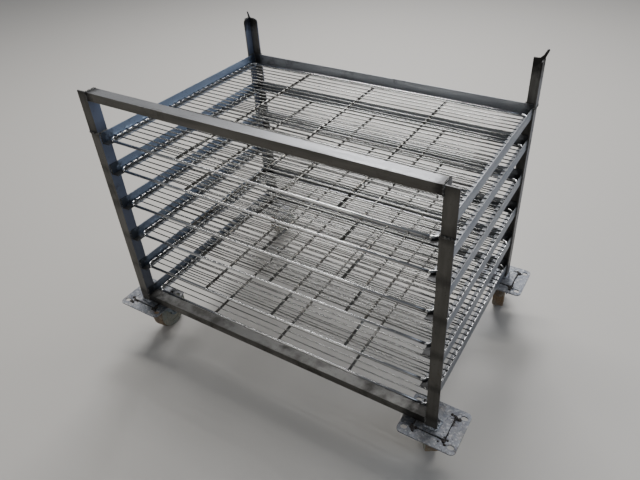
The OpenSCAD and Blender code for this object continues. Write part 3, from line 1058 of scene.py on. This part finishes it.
def slag_piece(corner, middle, z, seed):
    """Lumps in a heap at each of the foot plate's corners."""
    rng = random.Random(seed)
    shape = bmesh.new()
    for sx in (-1, 1):
        for sy in (-1, 1):
            for _ in range(SLAG_LUMPS):
                at = Vector((
                    middle.x + sx * FOOT_HALF_W + rng.gauss(0, 3.6 * MM),
                    middle.y + sy * FOOT_HALF_D + rng.gauss(0, 3.6 * MM), z,
                ))
                lump(shape, at, rng.uniform(1.6, 4.0) * MM, rng)
    return add_piece(f"slag_{corner}_foot_plate", shape, "frame", "plated_steel", BURNT_BROWN)


def dress_foot(number, corner):
    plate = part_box(corner + "_castor_plate")
    middle, top = (plate[0] + plate[1]) / 2, plate[1].z
    plan = (
        (middle.x - FOOT_HALF_W, middle.y - FOOT_HALF_D),
        (middle.x + FOOT_HALF_W, middle.y + FOOT_HALF_D),
    )
    return [
        weld_piece(
            f"weld_{corner}_foot", ring(*POST[corner], FOOT_TOP + 0.8 * MM), 3.0 * MM,
            RING_SEED + number, BRIGHT_WELD, slot="plated_steel",
        ),
        weld_piece(
            f"weld_{corner}_foot_plate", tack_lines(middle, top + 0.5 * MM), 2.6 * MM,
            TACK_SEED + number, BURNT_BROWN, slot="plated_steel",
        ),
        # A thin dark line of painted shadow where the foot plate meets the castor plate.
        weld_piece(
            f"gap_shadow_{corner}_foot_plate", ring(*plan, top + 0.2 * MM), 1.3 * MM,
            GAP_SHADOW_SEED + number, SOOT, slot="plated_steel",
        ),
        slag_piece(corner, middle, top, SLAG_SEED + number),
    ]


for number, corner in enumerate(CORNERS):
    welds += dress_foot(number, corner)
print("weld pieces:", len(welds))

# %% [markdown]
# ## Torn tops
# The rear uprights were burnt off and torn, and the CAD has their torn shapes. Burning also leaves
# black drops along the cut. They hold nothing, so they needn't be in the CAD: thin beads do it.

# %% Torn tops
left_low, left_high = UPRIGHT["rear_left"]
right_low, right_high = UPRIGHT["rear_right"]
LEFT_CUT = SEAM_Z + 75 * MM
RIGHT_CUT = SEAM_Z + 81 * MM
slag_left = [
    ((left_low.x + 3 * MM, left_high.y - 1 * MM, LEFT_CUT - 1 * MM),
     (left_high.x - 7 * MM, left_high.y - 1.2 * MM, LEFT_CUT - 1.5 * MM)),
    ((left_low.x + 1.2 * MM, left_high.y - 3 * MM, LEFT_CUT - 1 * MM),
     (left_low.x + 1.2 * MM, left_low.y + 8 * MM, LEFT_CUT - 1 * MM)),
]
slag_right = [
    ((right_low.x + 2 * MM, right_high.y - 1.2 * MM, RIGHT_CUT - 1 * MM),
     (right_low.x + 14 * MM, right_high.y - 1.2 * MM, RIGHT_CUT - 0.6 * MM)),
    ((right_low.x + 17 * MM, right_high.y - 1.2 * MM, RIGHT_CUT),
     (right_high.x - 1.5 * MM, right_high.y - 1.2 * MM, right_high.z - 2.5 * MM)),
]
weld_piece("slag_rear_left", slag_left, 1.5 * MM, 301, SOOT)
weld_piece("slag_rear_right", slag_right, 1.5 * MM, 302, SOOT)
print("cuts at", round(LEFT_CUT, 4), round(RIGHT_CUT, 4))

# %% [markdown]
# ## Spatter
# Welding throws drops that stick to the metal nearby. They could be a bump, but they are the size
# of a pinhead and stand proud, so they are small balls, half sunk in the front posts' faces.


# %% Spatter
def spatter_piece(name, centres, seed):
    """Small dots of weld on a front post: close to each level, and spread across its leg."""
    rng = random.Random(seed)
    shape = bmesh.new()
    for centre in centres:
        for _ in range(9):
            at = Vector(centre) + Vector((0, 0, 1)) * rng.gauss(0, 12 * MM)
            at += Vector((8 * MM, 0, 0)) * rng.uniform(-1, 1)
            bmesh.ops.create_icosphere(
                shape, subdivisions=1, radius=rng.uniform(0.25, 0.6) * MM,
                matrix=Matrix.Translation(at),
            )
    return add_piece(name, shape, "frame", "burnt_steel", WELD)


for label, side in SIDES:
    middle_x = side * (BAY_X + LEG_W / 2)
    levels = [(middle_x, FRONT_Y, RUNNER_TOP[i] - 8 * MM) for i in LEVELS]
    spatter_piece(f"spatter_front_{label}", levels, 400 + side)
print("spatter on", [label for label, side in SIDES])

# %% [markdown]
# ## Dirt at the wire crossings
# The shelves' wires are spot welded where they cross, and black dirt has gathered on those spots.
# A mask in the wire's material would have to find every crossing. Small flat lumps are plainer,
# and about two crossings in five have one.

# %% Crossing lumps
CLEAN_SHARE = 0.6


def crossing_piece(level):
    name = f"shelf_{level}"
    low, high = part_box(name)
    rng = random.Random(500 + level)
    shape = bmesh.new()
    half = (high.x - low.x) / 2 - RIM_R
    spaces = round((high.y - low.y - 2 * RIM_R) / WIRE_PITCH)
    step = (high.y - low.y - 2 * RIM_R) / spaces
    rod_top = low.z + 2 * RIM_R
    for i in range(1, spaces):
        for x in (-half, -half / 2, 0.0, half / 2, half):
            if rng.random() < CLEAN_SHARE:
                continue
            at = Vector((x, low.y + RIM_R + i * step, rod_top - 0.3 * MM))
            at += Vector((rng.uniform(-1.5, 1.5), rng.uniform(-1, 1), 0)) * MM
            size = rng.uniform(0.8, 1.3) * MM
            stretch = Matrix.Diagonal((rng.uniform(1.0, 1.7), 1.0, 0.75, 1))
            bmesh.ops.create_icosphere(
                shape, subdivisions=1, radius=size, matrix=Matrix.Translation(at) @ stretch
            )
    smooth_all(shape)
    return add_piece(name + "_crossings", shape, body_of(name), "shelf_wire", SOOT)


crossings = [crossing_piece(level) for level in LEVELS]
print("crossing pieces:", len(crossings), "faces", sum(len(c.data.polygons) for c in crossings))

# %% [markdown]
# ## Floor
# A pale plain floor. A curved backdrop would hide its far edge, but the rack is looked at from all
# round, and a plane serves every view.

# %% Floor
bpy.ops.mesh.primitive_plane_add(size=12, location=(0, 0, 0))
floor = bpy.context.object
floor.name = "floor"
floor_look, _, floor_surface, _ = material("floor", 0.0)
floor_surface.inputs["Base Color"].default_value = (0.47, 0.45, 0.42, 1)
floor_surface.inputs["Roughness"].default_value = 0.55
floor.data.materials.append(floor_look)
print("floor:", floor.name)

# %% [markdown]
# ## Light
# Metal shows what it reflects, so it needs large soft lamps. The key is behind, to the left and
# above, and lights the floor through the shelves. A long narrow strip over the rack gives each
# wire a thin bright line. A cool lamp stands to the right, and a weak warm one fills the front.

# %% Light
world = bpy.data.worlds.new("studio")
world.use_nodes = True
world.node_tree.nodes["Background"].inputs["Color"].default_value = (0.8, 0.85, 0.92, 1)
world.node_tree.nodes["Background"].inputs["Strength"].default_value = 0.26
bpy.context.scene.world = world
AIM = Vector((0, 0, 0.3))


def lamp(name, at, size, power, colour):
    data = bpy.data.lights.new(name, "AREA")
    data.shape = "RECTANGLE"
    data.size, data.size_y = size
    data.energy = power
    data.color = colour
    made = bpy.data.objects.new(name, data)
    made.location = at
    made.rotation_euler = (AIM - Vector(at)).to_track_quat("-Z", "Y").to_euler()
    bpy.context.scene.collection.objects.link(made)


lamp("key", (-0.95, 2.15, 2.1), (1.2, 0.8), 60, (0.97, 0.98, 1.0))
lamp("strip", (-0.3, 0.9, 2.5), (3.6, 0.3), 62, (1.0, 0.98, 0.95))
lamp("window", (2.6, 0.2, 1.2), (1.4, 1.4), 17, (0.72, 0.83, 1.0))
lamp("front", (-1.0, -2.8, 1.5), (1.8, 1.2), 13, (1.0, 0.96, 0.9))
print("lamps:", [light.name for light in bpy.data.lights])

# %% [markdown]
# ## Camera
# The view is from the open front, to the right and above. A camera could be aimed at a target,
# but here its turn, tilt and roll are known, so its three axes are built from those angles.

# %% Camera
camera_data = bpy.data.cameras.new("camera")
camera_data.lens = 32.86
camera_data.sensor_width = 36
camera_data.shift_x = -0.04
camera_data.shift_y = -0.022
camera = bpy.data.objects.new("camera", camera_data)
CAMERA_TURN = math.radians(31.57)
CAMERA_TILT = math.radians(35.86)
CAMERA_ROLL = math.radians(-2.36)
CAMERA_AT = (0.503, FRONT_Y - 0.542, 0.912)
forward = Vector((
    -math.sin(CAMERA_TURN) * math.cos(CAMERA_TILT),
    math.cos(CAMERA_TURN) * math.cos(CAMERA_TILT),
    -math.sin(CAMERA_TILT),
))
level_right = Vector((math.cos(CAMERA_TURN), math.sin(CAMERA_TURN), 0))
level_up = level_right.cross(forward)
right = level_right * math.cos(CAMERA_ROLL) + level_up * math.sin(CAMERA_ROLL)
up = level_up * math.cos(CAMERA_ROLL) - level_right * math.sin(CAMERA_ROLL)
axes = Matrix((right, up, -forward)).transposed()
camera.matrix_world = Matrix.Translation(CAMERA_AT) @ axes.to_4x4()
bpy.context.scene.collection.objects.link(camera)
bpy.context.scene.camera = camera
print("camera at", [round(v, 3) for v in camera.location])
